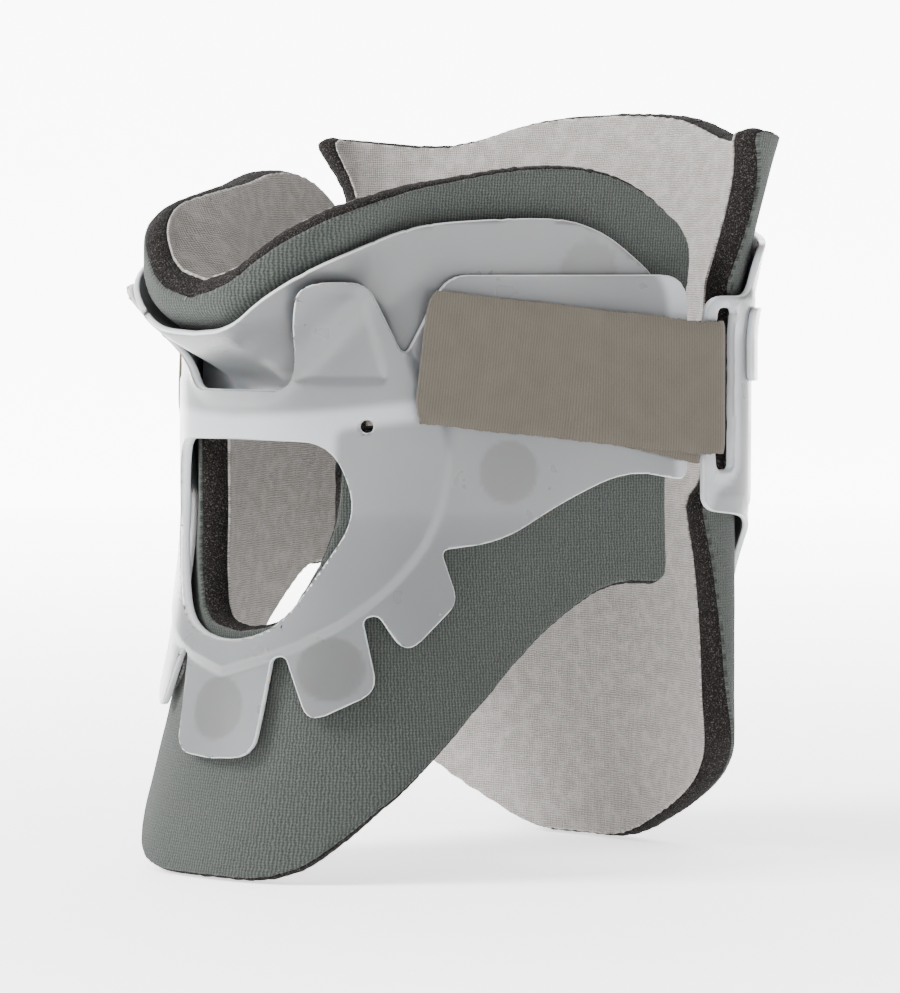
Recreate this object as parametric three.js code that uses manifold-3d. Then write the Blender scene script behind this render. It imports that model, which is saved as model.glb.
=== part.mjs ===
// Two-piece cervical collar: a front half that carries the chin and the breastbone, a back half
// that carries the head, and two hook-and-loop straps that pull the halves together.
// Millimetres, +Z up, front of the collar towards -Y, wearer's left towards +X.
import * as THREE from 'three';
import { mergeVertices } from 'three/addons/utils/BufferGeometryUtils.js';
import Module from 'manifold-3d';

const wasm = await Module();
wasm.setup();

// ---- driving dimensions ----
const FRONT_DEPTH = 75;       // centre line to the front of the shell at its waist
const BACK_DEPTH = 76;        // centre line to the back of the collar
const STRAP_WIDTH = 38;
const STRAP_THICKNESS = 1.5;
const SHELL_THICKNESS = 2;
const FABRIC_THICKNESS = 0.8;
const GAP = 0.3;              // clearance between neighbouring layers
const CHIN_CLEARANCE = 2.4;   // extra room between the shell and the chin support behind it
const DOT_RADIUS = 9.5;       // round hook dots behind the plastic
const RIVET_RADIUS = 2;
const COLUMN_STEP = 15;       // facet width along the girth
const ROW_STEP = { body: 25, trough: 7.5, rim: 16 };
const ROW_ZONE = { first: 18.6, trough: 120, rim: 160, last: 212 };

// Half of the waist line in plan, from front centre round the wearer's left side to back centre.
const PLAN_HALF = [
  [0, -FRONT_DEPTH], [22, -71.5], [40, -59], [54, -35], [67, -5],
  [78, 25], [80, 46], [66, 62], [38, 72], [0, BACK_DEPTH],
];

// Layers of each half as [inner, outer] offsets from the collar surface.
const FRONT_LAYERS = {
  shell: [-SHELL_THICKNESS, 0],
  dot: [-3.5, -2.6],
  cover: [-5, -4.2],
  foam: [-11.8, -5.6],
  lining: [-13.2, -12.4],
};
const CHIN_LAYERS = {
  shell: [-5, -3],
  dot: [-6.4, -5.5],
  cover: [-8.8, -8],
  foam: [-15.5, -9.6],
  lining: [-17.1, -16.3],
};
const BACK_LAYERS = {
  shell: [-1, 1],
  dot: [-2.4, -1.5],
  cover: [-3.9, -3.1],
  foam: [-11, -4.5],
  lining: [-12.4, -11.6],
  anchor: [1.5, 3.5],
};

// ---- the collar surface ----
function waistLine() {
  const mirrored = PLAN_HALF.slice(1, -1).reverse().map(([x, y]) => [-x, y]);
  const points = [...PLAN_HALF, ...mirrored].map(([x, y]) => new THREE.Vector3(x, y, 0));
  const curve = new THREE.CatmullRomCurve3(points, true, 'centripetal');
  curve.arcLengthDivisions = 800;
  return curve;
}

const WAIST = waistLine();
const GIRTH = WAIST.getLength();
const BACK_CENTRE = GIRTH / 2;

function smoothstep(low, high, value) {
  const t = Math.min(1, Math.max(0, (value - low) / (high - low)));
  return t * t * (3 - 2 * t);
}

// Point and outward normal of the waist line at girth position s, 0 at front centre.
function waistAt(s) {
  const u = (((s % GIRTH) + GIRTH) % GIRTH) / GIRTH;
  const point = WAIST.getPointAt(u);
  const tangent = WAIST.getTangentAt(u);
  return { point, normal: new THREE.Vector3(tangent.y, -tangent.x, 0).normalize() };
}

function girthFromFront(s) {
  const around = ((s % GIRTH) + GIRTH) % GIRTH;
  return Math.min(around, GIRTH - around);
}

// The chin trough: nearly a ledge at front centre, upright along the jaw.
function chinFlare(s, z) {
  const front = 1 - smoothstep(8, 66, girthFromFront(s));
  const start = 166 - 36 * front;
  const rise = 50 - 24 * front;
  const outermost = 6 + 19 * front;
  const innermost = -9 * front;
  const t = Math.min(1, Math.max(0, (z - start) / rise));
  return innermost + (outermost - innermost) * (1 - Math.cos(t * Math.PI)) / 2;
}

// The breastbone end spreads forward as it goes down.
function chestFlare(s, z) {
  const girth = girthFromFront(s);
  const spread = 8 * (1 - smoothstep(40, 120, girth)) + 11 * (1 - smoothstep(130, 175, girth));
  return spread * Math.max(0, (102 - z) / 100) ** 1.5;
}

// Each half's surface places a pattern point (s along the girth, z up, d outward).
function frontSurface(s, z, d) {
  const { point, normal } = waistAt(s);
  const chin = Math.max(0, chinFlare(s, z));
  const flare = chin + Math.min(chin, CHIN_CLEARANCE) + chestFlare(s, z);
  return point.addScaledVector(normal, flare + d).setZ(z);
}

function chinSurface(s, z, d) {
  const { point, normal } = waistAt(s);
  const lean = THREE.MathUtils.degToRad(40) * (1 - smoothstep(0, 80, girthFromFront(s)));
  point.addScaledVector(normal, chinFlare(s, z) + d * Math.cos(lean));
  return point.setZ(z - d * Math.sin(lean));
}

function backSurface(s, z, d) {
  const { point, normal } = waistAt(s);
  const flare = 12 * Math.max(0, (z - 150) / 55) ** 1.3;
  return point.addScaledVector(normal, flare + d).setZ(z);
}

// ---- flat patterns ----
// A corner is [s, z, fillet radius]. A half pattern starts and ends on the centre line.
function mirrorHalf(half) {
  const inner = half.slice(1, -1);
  const mirrored = inner.slice().reverse().map(([s, z, radius]) => [-s, z, radius]);
  return [half[0], ...inner, half[half.length - 1], ...mirrored];
}

function filletedPath(path, outline, centre = 0) {
  const at = ([s, z]) => new THREE.Vector2(s + centre, z);
  const corners = THREE.ShapeUtils.area(outline.map(at)) < 0 ? outline.slice().reverse() : outline;
  corners.forEach((corner, i) => {
    const here = at(corner);
    const before = at(corners[(i + corners.length - 1) % corners.length]);
    const after = at(corners[(i + 1) % corners.length]);
    const radius = corner[2] ?? 0;
    const reach = Math.min(radius, here.distanceTo(before) * 0.48, here.distanceTo(after) * 0.48);
    const enter = here.clone().lerp(before, reach / here.distanceTo(before));
    const leave = here.clone().lerp(after, reach / here.distanceTo(after));
    if (i === 0) path.moveTo(enter.x, enter.y);
    else path.lineTo(enter.x, enter.y);
    if (reach > 0) path.quadraticCurveTo(here.x, here.y, leave.x, leave.y);
  });
  path.closePath();
  return path;
}

// A hole of twelve flats that a pin of the given radius just clears.
function roundHole(s, z, radius) {
  const flats = 12;
  const reach = radius / Math.cos(Math.PI / flats);
  const points = Array.from({ length: flats }, (_, i) => {
    const angle = (-i * 2 * Math.PI) / flats;
    return new THREE.Vector2(s + reach * Math.cos(angle), z + reach * Math.sin(angle));
  });
  return new THREE.Path(points);
}

// ---- geometry helpers ----
function weld(geometry) {
  geometry.deleteAttribute('normal');
  geometry.deleteAttribute('uv');
  return mergeVertices(geometry, 1e-4);
}

function toSolid(geometry) {
  const vertProperties = new Float32Array(geometry.getAttribute('position').array);
  const triVerts = new Uint32Array(geometry.index.array);
  return new wasm.Manifold(new wasm.Mesh({ numProp: 3, vertProperties, triVerts }));
}

// Cuts a solid into slabs at the given positions along one axis.
function slabs(solid, axis, cuts) {
  const normal = [0, 1, 2].map((k) => (k === axis ? 1 : 0));
  const pieces = [];
  let rest = solid;
  for (const cut of cuts) {
    const [beyond, before] = rest.splitByPlane(normal, cut);
    pieces.push(before);
    rest = beyond;
  }
  pieces.push(rest);
  return pieces.filter((piece) => !piece.isEmpty());
}

// Gives a flat solid a line of vertices at every column and row, so that it can be bent.
function divide(geometry, columns, rows) {
  const corners = [];
  const onCut = (value, cuts) => cuts.some((cut) => Math.abs(value - cut) < 1e-4);
  for (const slab of slabs(toSolid(geometry), 0, columns)) {
    for (const cell of slabs(slab, 1, rows)) {
      const { vertProperties, triVerts } = cell.getMesh();
      for (let i = 0; i < triVerts.length; i += 3) {
        const face = [0, 1, 2].map((k) => {
          const start = triVerts[i + k] * 3;
          return vertProperties.subarray(start, start + 3);
        });
        const inner = columns.some((cut) => face.every((corner) => onCut(corner[0], [cut])))
          || rows.some((cut) => face.every((corner) => onCut(corner[1], [cut])));
        if (!inner) corners.push(...face.flatMap((corner) => [...corner]));
      }
    }
  }
  const divided = new THREE.BufferGeometry();
  divided.setAttribute('position', new THREE.Float32BufferAttribute(corners, 3));
  return closeSeams(mergeVertices(divided, 1e-3));
}

// Where one side of a seam has a vertex that the other lacks, splits the face that lacks it.
function closeSeams(geometry) {
  const position = geometry.getAttribute('position');
  const at = (i) => new THREE.Vector3().fromBufferAttribute(position, i);
  let faces = [];
  for (let i = 0; i < geometry.index.count; i += 3) {
    faces.push([0, 1, 2].map((k) => geometry.index.getX(i + k)));
  }
  for (let open = openEdges(faces); open.size > 0; open = openEdges(faces)) {
    const ends = [...new Set([...open.values()].flatMap(({ a, b }) => [a, b]))];
    const before = faces.length;
    faces = faces.flatMap((face) => splitAtOpenEdge(face, open, ends, at));
    if (faces.length === before) break;
  }
  geometry.setIndex(faces.flat());
  return geometry;
}

function openEdges(faces) {
  const edges = new Map();
  for (const face of faces) {
    face.forEach((a, k) => edges.set(`${a},${face[(k + 1) % 3]}`, { a, b: face[(k + 1) % 3] }));
  }
  return new Map([...edges].filter(([, { a, b }]) => !edges.has(`${b},${a}`)));
}

function splitAtOpenEdge(face, open, ends, at) {
  for (let k = 0; k < 3; k += 1) {
    const [a, b, c] = [face[k], face[(k + 1) % 3], face[(k + 2) % 3]];
    if (open.has(`${a},${b}`)) {
      const line = new THREE.Line3(at(a), at(b));
      const between = ends.find((v) => {
        const t = line.closestPointToPointParameter(at(v), false);
        const near = line.closestPointToPoint(at(v), true, new THREE.Vector3()).distanceTo(at(v));
        return v !== a && v !== b && t > 0 && t < 1 && near < 2e-3;
      });
      if (between !== undefined) return [[a, between, c], [between, b, c]];
    }
  }
  return [face];
}

function bend(geometry, place) {
  const position = geometry.getAttribute('position');
  for (let i = 0; i < position.count; i += 1) {
    const p = place(position.getX(i), position.getY(i), position.getZ(i));
    position.setXYZ(i, p.x, p.y, p.z);
  }
  return geometry;
}

// Facet columns stand symmetrically either side of a centre line, the same for every layer.
function columnsAbout(centre) {
  const columns = [];
  for (let offset = COLUMN_STEP / 2; offset < GIRTH / 2; offset += COLUMN_STEP) {
    columns.unshift(centre - offset);
    columns.push(centre + offset);
  }
  return columns;
}

// Facet rows are close together where the chin trough curves most.
function facetRows() {
  const rows = [];
  let z = ROW_ZONE.first;
  while (z < ROW_ZONE.last) {
    rows.push(z);
    if (z < ROW_ZONE.trough) z += ROW_STEP.body;
    else if (z < ROW_ZONE.rim) z += ROW_STEP.trough;
    else z += ROW_STEP.rim;
  }
  return rows;
}

const ROWS = facetRows();

// A flat pattern's face, divided at every column and row, as points and triangles.
function flatFace(shape, centre, curveSegments) {
  const flat = new THREE.ExtrudeGeometry(shape, { depth: 1, bevelEnabled: false, curveSegments });
  const divided = divide(weld(flat), columnsAbout(centre), ROWS);
  const position = divided.getAttribute('position');
  const faces = [];
  for (let i = 0; i < divided.index.count; i += 3) {
    const face = [0, 1, 2].map((k) => divided.index.getX(i + k));
    if (face.every((v) => position.getZ(v) > 0.5)) faces.push(face);
  }
  return { position, faces };
}

// A layer of the pattern: its face at both offsets, joined by a wall along every free edge.
function bentLayer({ position, faces }, [inner, outer], place) {
  const count = position.count;
  const points = [];
  for (const offset of [outer, inner]) {
    for (let i = 0; i < count; i += 1) {
      points.push(...place(position.getX(i), position.getY(i), offset).toArray());
    }
  }
  const walls = [...openEdges(faces).values()].flatMap(({ a, b }) => [
    [b, a, a + count], [b, a + count, b + count],
  ]);
  const backs = faces.map(([a, b, c]) => [a + count, c + count, b + count]);
  const geometry = new THREE.BufferGeometry();
  geometry.setAttribute('position', new THREE.Float32BufferAttribute(points, 3));
  geometry.setIndex([...faces, ...backs, ...walls].flat());
  return mergeVertices(geometry, 1e-4);
}

// A panel cut from flat sheet of the layer's thickness and bent round the collar surface.
function bentPanel(corners, layer, place, { centre = 0, holes = [] } = {}) {
  return bentLayer(patternFace(corners, centre, holes), layer, place);
}

function patternFace(corners, centre = 0, holes = []) {
  const shape = filletedPath(new THREE.Shape(), corners, centre);
  shape.holes.push(...holes);
  return flatFace(shape, centre, 2);
}

function rectangle(s, z, width, height, radius) {
  const [w, h] = [width / 2, height / 2];
  return [[s - w, z - h, radius], [s + w, z - h, radius], [s + w, z + h, radius], [s - w, z + h, radius]];
}

function hookDot(s, z, layer, place) {
  const shape = new THREE.Shape().absarc(s, z, DOT_RADIUS, 0, Math.PI * 2, false);
  return bentLayer(flatFace(shape, 0, 7), layer, place);
}

// ---- the assembly ----
const collar = new THREE.Group();

function addPiece(name, geometry, { color, roughness, metalness = 0 }) {
  const mesh = new THREE.Mesh(geometry, new THREE.MeshStandardMaterial({ color, roughness, metalness }));
  mesh.name = name;
  collar.add(mesh);
  return mesh;
}

const PLASTIC = { color: 0xd9e0e3, roughness: 0.35 };
const KNIT = { color: 0x74827a, roughness: 0.95 };
const FOAM = { color: 0x322e31, roughness: 1 };
const COTTON = { color: 0xc2bdb8, roughness: 0.95 };
const WEBBING = { color: 0xaaa296, roughness: 0.9 };
const HOOK = { color: 0xc9ccca, roughness: 0.8 };
const SIDES = [['left', 1], ['right', -1]];

// ---- front shell ----
const WING_END = 138;
const SHELL_HALF = [
  [0, 136], [19, 136, 5], [28, 166, 5], [41, 166, 5], [51.5, 145, 4], [64, 168, 6],
  [WING_END, 168, 9], [WING_END, 109.5, 4], [119, 113, 10], [100, 105, 15], [80, 93.5, 15],
  [62, 91.5, 2.5], [66.5, 77, 4], [51, 62.5, 6], [44, 73.8, 2.4], [40, 72.8, 2.4],
  [44, 53, 5], [27, 44, 5], [19.8, 62.2, 2.4], [16, 61.6, 2.4], [13.5, 34, 6], [0, 33],
];
const TRACHEA_HALF = [[0, 122], [31, 121.5, 9], [39, 102, 14], [17, 69.5, 12], [0, 65, 10]];
const VENT = { s: 41, z: 126, radius: 1.8 };
const CHIN_RIVET = { s: 105, z: 140 };
const RIVET_HOLE = RIVET_RADIUS + GAP;

function buildFrontShell() {
  const holes = [filletedPath(new THREE.Path(), mirrorHalf(TRACHEA_HALF))];
  for (const [, side] of SIDES) {
    holes.push(roundHole(side * VENT.s, VENT.z, VENT.radius));
    holes.push(roundHole(side * CHIN_RIVET.s, CHIN_RIVET.z, RIVET_HOLE));
  }
  const shell = bentPanel(mirrorHalf(SHELL_HALF), FRONT_LAYERS.shell, frontSurface, { holes });
  addPiece('front_shell', shell, PLASTIC);
}

// ---- pads: knit cover, foam core and cotton lining, bonded into one laminate ----
function buildPad(name, half, layers, place, centre = 0) {
  const face = patternFace(mirrorHalf(half), centre);
  addPiece(`${name}_cover`, bentLayer(face, layers.cover, place), KNIT);
  addPiece(`${name}_foam`, bentLayer(face, layers.foam, place), FOAM);
  addPiece(`${name}_lining`, bentLayer(face, layers.lining, place), COTTON);
}

const FRONT_PAD_HALF = [
  [0, 69], [15, 71, 8], [31, 95, 14], [33, 125, 3], [60, 128, 10], [134, 126, 5], [134, 80, 6],
  [115, 81, 15], [93, 67, 20], [66, 40, 25], [44, 19, 20], [24, 0, 12], [0, 0],
];

// ---- chin support ----
const CHIN_SUPPORT_HALF = [
  [0, 149.5], [12, 150.5, 8], [28, 168, 14], [52, 181, 25], [80, 184, 25], [108, 183.5, 20],
  [131, 166, 8], [131, 135, 6], [62, 134, 10], [25, 130, 15], [0, 129],
];
const CHIN_PAD_HALF = [
  [0, 157], [10, 160, 8], [27, 178, 14], [50, 190, 30], [85, 199, 35], [118, 198, 20],
  [146, 179, 12], [144, 160, 6], [125, 150, 8], [60, 147, 15], [25, 139, 12], [0, 137],
];

function buildChinSupport() {
  const holes = SIDES.map(([, side]) => roundHole(side * CHIN_RIVET.s, CHIN_RIVET.z, RIVET_HOLE));
  const support = bentPanel(mirrorHalf(CHIN_SUPPORT_HALF), CHIN_LAYERS.shell, chinSurface, { holes });
  addPiece('chin_support', support, PLASTIC);
}

// A rivet turned about its own axis, its outer head on the wing and its inner head on the support.
function buildRivets() {
  const head = 4;
  const outer = GAP;
  const inner = CHIN_LAYERS.shell[0] - GAP;
  const profile = [
    [0, inner - 1], [head - 0.8, inner - 1], [head, inner], [RIVET_RADIUS, inner],
    [RIVET_RADIUS, outer], [head, outer], [head - 0.8, outer + 0.9], [0, outer + 0.9],
  ].map(([r, along]) => new THREE.Vector2(r, along));
  for (const [label, side] of SIDES) {
    const { point, normal } = waistAt(side * CHIN_RIVET.s);
    const rivet = addPiece(`chin_rivet_${label}`, weld(new THREE.LatheGeometry(profile, 16)), HOOK);
    rivet.position.set(point.x, point.y, CHIN_RIVET.z);
    rivet.quaternion.setFromUnitVectors(new THREE.Vector3(0, 1, 0), normal);
  }
}

// ---- hook dots that hold the pads behind the plastic ----
const CENTRE_TAB_DOT = { z: 47 };
const TAB_DOT = { s: 32, z: 59 };
const WING_DOT = { s: 82, z: 113 };
const CHIN_DOT = { s: 108, z: 169 };
const BACK_DOT = { across: 30, levels: [['upper', 172], ['lower', 62]] };

function buildHookDots() {
  const front = FRONT_LAYERS.dot;
  addPiece('tab_dot_centre', hookDot(0, CENTRE_TAB_DOT.z, front, frontSurface), HOOK);
  for (const [label, side] of SIDES) {
    addPiece(`tab_dot_${label}`, hookDot(side * TAB_DOT.s, TAB_DOT.z, front, frontSurface), HOOK);
    addPiece(`wing_dot_${label}`, hookDot(side * WING_DOT.s, WING_DOT.z, front, frontSurface), HOOK);
    addPiece(`chin_dot_${label}`, hookDot(side * CHIN_DOT.s, CHIN_DOT.z, CHIN_LAYERS.dot, chinSurface), HOOK);
    for (const [level, z] of BACK_DOT.levels) {
      const s = BACK_CENTRE - side * BACK_DOT.across;
      addPiece(`back_dot_${level}_${label}`, hookDot(s, z, BACK_LAYERS.dot, backSurface), HOOK);
    }
  }
}

// ---- back shell: a spine plate with an arm to each side, ending in a slotted loop ----
const LOOP_BAR = { fromBack: 103.5, width: 4 };
const SLOT = { inner: 95.5, low: 112.5, high: 158.5 };
const BACK_SHELL_HALF = [
  [0, 185], [40, 185, 12], [86, 176, 6], [89, 162, 5], [105.5, 162, 6], [105.5, 101, 5],
  [88, 99, 6], [66, 90, 14], [46, 46, 12], [0, 43],
];
const BACK_PAD_HALF = [
  [0, 216], [30, 215, 20], [58, 206, 20], [97, 210, 6], [88, 188, 15], [96, 164, 6],
  [92, 156, 6], [92, 112, 6], [104, 104, 5], [97, 75, 20], [90, 38, 25], [52, 14, 25],
  [20, 0, 12], [0, 0],
];
const ANCHOR = { fromBack: 80, z: 148, width: 18, height: 21 };

function buildBackShell() {
  const slotOuter = LOOP_BAR.fromBack - LOOP_BAR.width / 2;
  const width = slotOuter - SLOT.inner;
  const middle = (slotOuter + SLOT.inner) / 2;
  const holes = SIDES.map(([, side]) => {
    const outline = rectangle(side * middle, (SLOT.low + SLOT.high) / 2, width, SLOT.high - SLOT.low, 2);
    return filletedPath(new THREE.Path(), outline, BACK_CENTRE);
  });
  const shell = bentPanel(mirrorHalf(BACK_SHELL_HALF), BACK_LAYERS.shell, backSurface, {
    centre: BACK_CENTRE, holes,
  });
  addPiece('back_shell', shell, PLASTIC);
  for (const [label, side] of SIDES) {
    const outline = rectangle(-side * ANCHOR.fromBack, ANCHOR.z, ANCHOR.width, ANCHOR.height, 3);
    const plate = bentPanel(outline, BACK_LAYERS.anchor, backSurface, { centre: BACK_CENTRE });
    addPiece(`strap_anchor_${label}`, plate, PLASTIC);
  }
}

// ---- straps: one length of webbing, sewn round the loop's bar and doubled back on itself ----
const STRAP = { front: 55, step: 98, raised: 108, fold: 112, hingeOffset: 1, eye: 3 };
const STRAP_CENTRE = { front: 145.5, back: 136 };
const PATCH = { from: 60, to: 100, layer: [0.3, 1.1] };
const STRAP_HOOK = { from: 58, to: 94, layer: [1.4, 2.2] };
const HINGE = BACK_CENTRE - LOOP_BAR.fromBack;

// Height of the strap's middle, which runs down slightly towards the loop.
function strapMiddle(girth) {
  const along = Math.min(1, Math.max(0, (girth - STRAP.front) / (HINGE - 5 - STRAP.front)));
  return STRAP_CENTRE.front + (STRAP_CENTRE.back - STRAP_CENTRE.front) * along;
}

// Section of the strap in girth and offset: the long leg, the eye round the bar, the short leg.
function strapSection() {
  const eyeOuter = STRAP.eye + STRAP_THICKNESS;
  const longOuter = STRAP.hingeOffset + eyeOuter;
  const longInner = longOuter - STRAP_THICKNESS;
  const shortOuter = longInner - GAP;
  const shortInner = shortOuter - STRAP_THICKNESS;
  const frontInner = STRAP_HOOK.layer[1] + GAP;
  const shape = new THREE.Shape();
  shape.moveTo(STRAP.front, frontInner);
  shape.lineTo(STRAP.step, frontInner);
  shape.lineTo(STRAP.raised, longInner);
  shape.lineTo(HINGE - STRAP.eye, longInner);
  shape.lineTo(HINGE - STRAP.eye, shortOuter);
  shape.lineTo(STRAP.fold, shortOuter);
  shape.lineTo(STRAP.fold, shortInner);
  const start = Math.PI - Math.asin((shortInner - STRAP.hingeOffset) / eyeOuter);
  shape.absarc(HINGE, STRAP.hingeOffset, eyeOuter, start, Math.PI * 2.5, false);
  shape.lineTo(STRAP.raised, longOuter);
  shape.lineTo(STRAP.step, frontInner + STRAP_THICKNESS);
  shape.lineTo(STRAP.front, frontInner + STRAP_THICKNESS);
  shape.closePath();
  shape.holes.push(new THREE.Path().absarc(HINGE, STRAP.hingeOffset, STRAP.eye, 0, Math.PI * 2, true));
  return shape;
}

function buildStraps() {
  for (const [label, side] of SIDES) {
    const webbing = new THREE.ExtrudeGeometry(strapSection(), {
      depth: STRAP_WIDTH, bevelEnabled: false, curveSegments: 8,
    });
    // the section lies in x and y, so only the columns divide it
    const placed = bend(divide(weld(webbing), columnsAbout(0), []), (girth, offset, across) => (
      placeOnSide(side, girth, across - STRAP_WIDTH / 2 + strapMiddle(girth), offset)
    ));
    addPiece(`strap_${label}`, side > 0 ? flipFaces(placed) : placed, WEBBING);
    const hookWidth = STRAP_HOOK.to - STRAP_HOOK.from;
    const hookMiddle = (STRAP_HOOK.to + STRAP_HOOK.from) / 2;
    const hookOutline = rectangle(hookMiddle, 0, hookWidth, STRAP_WIDTH - 4, 2);
    addPiece(`strap_hook_${label}`, sidePanel(side, hookOutline, STRAP_HOOK.layer), HOOK);
    const patchOutline = rectangle((PATCH.from + PATCH.to) / 2, 0, PATCH.to - PATCH.from, STRAP_WIDTH - 2, 3);
    addPiece(`wing_patch_${label}`, sidePanel(side, patchOutline, PATCH.layer), COTTON);
  }
}

function placeOnSide(side, girth, z, offset) {
  const { point, normal } = waistAt(side * girth);
  return point.addScaledVector(normal, offset).setZ(z);
}

// A small panel under the strap that follows the strap's slope.
function sidePanel(side, outline, layer) {
  const mirrored = outline.map(([s, z, radius]) => [side * s, z, radius]);
  return bentPanel(side > 0 ? mirrored : mirrored.reverse(), layer, (s, z, d) => (
    placeOnSide(side, Math.abs(s), z + strapMiddle(Math.abs(s)), d)
  ));
}

function flipFaces(geometry) {
  const index = geometry.index;
  for (let i = 0; i < index.count; i += 3) {
    const first = index.getX(i);
    index.setX(i, index.getX(i + 1));
    index.setX(i + 1, first);
  }
  return geometry;
}

buildFrontShell();
buildPad('front_pad', FRONT_PAD_HALF, FRONT_LAYERS, frontSurface);
buildChinSupport();
buildPad('chin_pad', CHIN_PAD_HALF, CHIN_LAYERS, chinSurface);
buildRivets();
buildHookDots();
buildBackShell();
buildPad('back_pad', BACK_PAD_HALF, BACK_LAYERS, backSurface, BACK_CENTRE);
buildStraps();

// The origin stands under the middle of the whole outline.
const outline = new THREE.Box3().setFromObject(collar);
collar.position.y = -(outline.min.y + outline.max.y) / 2;

export default collar;
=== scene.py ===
"""Two-piece cervical collar: bent plastic shells, laminated pads and hook-and-loop straps."""
import math

import bmesh
import bpy
import numpy as np
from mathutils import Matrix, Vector


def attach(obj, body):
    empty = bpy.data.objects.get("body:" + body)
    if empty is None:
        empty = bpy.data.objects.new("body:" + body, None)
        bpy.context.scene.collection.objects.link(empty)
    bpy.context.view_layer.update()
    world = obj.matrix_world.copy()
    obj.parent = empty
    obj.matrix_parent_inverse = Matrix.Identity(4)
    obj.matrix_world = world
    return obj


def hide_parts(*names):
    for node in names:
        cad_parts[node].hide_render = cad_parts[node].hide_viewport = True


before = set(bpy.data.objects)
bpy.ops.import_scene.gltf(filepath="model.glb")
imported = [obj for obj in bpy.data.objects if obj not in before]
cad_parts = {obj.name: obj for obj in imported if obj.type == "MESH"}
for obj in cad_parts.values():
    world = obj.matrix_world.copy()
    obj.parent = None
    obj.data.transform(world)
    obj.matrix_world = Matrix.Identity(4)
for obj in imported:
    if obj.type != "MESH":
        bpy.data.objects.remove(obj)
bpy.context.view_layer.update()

MM = 0.001

# ---------------------------------------------------------------- driving dimensions, in mm
ORIGIN_SHIFT = 2.881          # the plan's centre line stands this far behind the origin
PLAN_HALF = [(0, -75), (22, -71.5), (40, -59), (54, -35), (67, -5),
             (78, 25), (80, 46), (66, 62), (38, 72), (0, 76)]
STRAP_WIDTH = 38
STRAP_THICKNESS = 1.5
FINE = 1.9                    # facet size of the visible panels


# ---------------------------------------------------------------- camera
def make_camera():
    azimuth, distance, height = math.radians(45), 1.5, 0.173
    pitch, yaw = math.radians(2.656), math.radians(0.244)
    data = bpy.data.cameras.new("camera")
    data.sensor_width = 36
    data.lens = 187.25
    camera = bpy.data.objects.new("camera", data)
    bpy.context.scene.collection.objects.link(camera)
    camera.location = (distance * math.sin(azimuth),
                       -distance * math.cos(azimuth) + ORIGIN_SHIFT * MM, height)
    camera.rotation_euler = (math.pi / 2 - pitch, 0, azimuth - yaw)
    bpy.context.scene.camera = camera


make_camera()


# ---------------------------------------------------------------- the collar surface
def closed_catmull_rom(points, samples=60):
    count = len(points)
    out = []
    for i in range(count):
        p0, p1, p2, p3 = (points[(i + k - 1) % count] for k in range(4))
        t1 = math.sqrt(np.linalg.norm(p1 - p0))
        t2 = t1 + math.sqrt(np.linalg.norm(p2 - p1))
        t3 = t2 + math.sqrt(np.linalg.norm(p3 - p2))
        for t in np.linspace(t1, t2, samples, endpoint=False):
            a1 = (t1 - t) / t1 * p0 + t / t1 * p1
            a2 = (t2 - t) / (t2 - t1) * p1 + (t - t1) / (t2 - t1) * p2
            a3 = (t3 - t) / (t3 - t2) * p2 + (t - t2) / (t3 - t2) * p3
            b1 = (t2 - t) / t2 * a1 + t / t2 * a2
            b2 = (t3 - t) / (t3 - t1) * a2 + (t - t1) / (t3 - t1) * a3
            out.append((t2 - t) / (t2 - t1) * b1 + (t - t1) / (t2 - t1) * b2)
    return np.array(out)


def waist_tables():
    half = [np.array(p, float) for p in PLAN_HALF]
    mirrored = [p * (-1, 1) for p in reversed(half[1:-1])]
    line = closed_catmull_rom(half + mirrored)
    line = np.vstack([line, line[:1]])
    girth = np.concatenate([[0], np.cumsum(np.linalg.norm(np.diff(line, axis=0), axis=1))])
    tangent = np.gradient(line, girth, axis=0)
    tangent[0] = tangent[-1] = (line[1] - line[-2]) / (girth[1] + girth[-1] - girth[-2])
    return girth, line, np.stack([tangent[:, 1], -tangent[:, 0]], axis=1)


GIRTH_TABLE, LINE_TABLE, NORMAL_TABLE = waist_tables()
GIRTH = GIRTH_TABLE[-1]
BACK_CENTRE = GIRTH / 2


def smoothstep(low, high, value):
    t = np.clip((value - low) / (high - low), 0, 1)
    return t * t * (3 - 2 * t)


def girth_from_front(s):
    """Distance along the waist line from its front centre, the same to both sides."""
    around = np.mod(s, GIRTH)
    return np.minimum(around, GIRTH - around)


def on_waist(s, out, z):
    """Points at girth s, distance out along the waist's normal and height z, in mm."""
    around = np.mod(s, GIRTH)
    place = [np.interp(around, GIRTH_TABLE, column) for column in LINE_TABLE.T]
    normal = np.stack([np.interp(around, GIRTH_TABLE, column) for column in NORMAL_TABLE.T])
    normal /= np.linalg.norm(normal, axis=0)
    x = place[0] + normal[0] * out
    y = place[1] + normal[1] * out + ORIGIN_SHIFT
    return np.stack([x, y, z + 0 * x], axis=-1)


def chin_flare(s, z):
    """Outward lean under the chin and jaw, in mm; negative where it stands inside the waist line."""
    front = 1 - smoothstep(8, 66, girth_from_front(s))
    outermost, innermost = 6 + 19 * front, -9 * front
    t = np.clip((z - 166 + 36 * front) / (50 - 24 * front), 0, 1)
    return innermost + (outermost - innermost) * (1 - np.cos(t * np.pi)) / 2


def chest_flare(s, z):
    """How far the collar's lower edge spreads over the chest and shoulders."""
    girth = girth_from_front(s)
    spread = 8 * (1 - smoothstep(40, 120, girth)) + 11 * (1 - smoothstep(130, 175, girth))
    return spread * np.clip((102 - z) / 100, 0, None) ** 1.5


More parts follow.
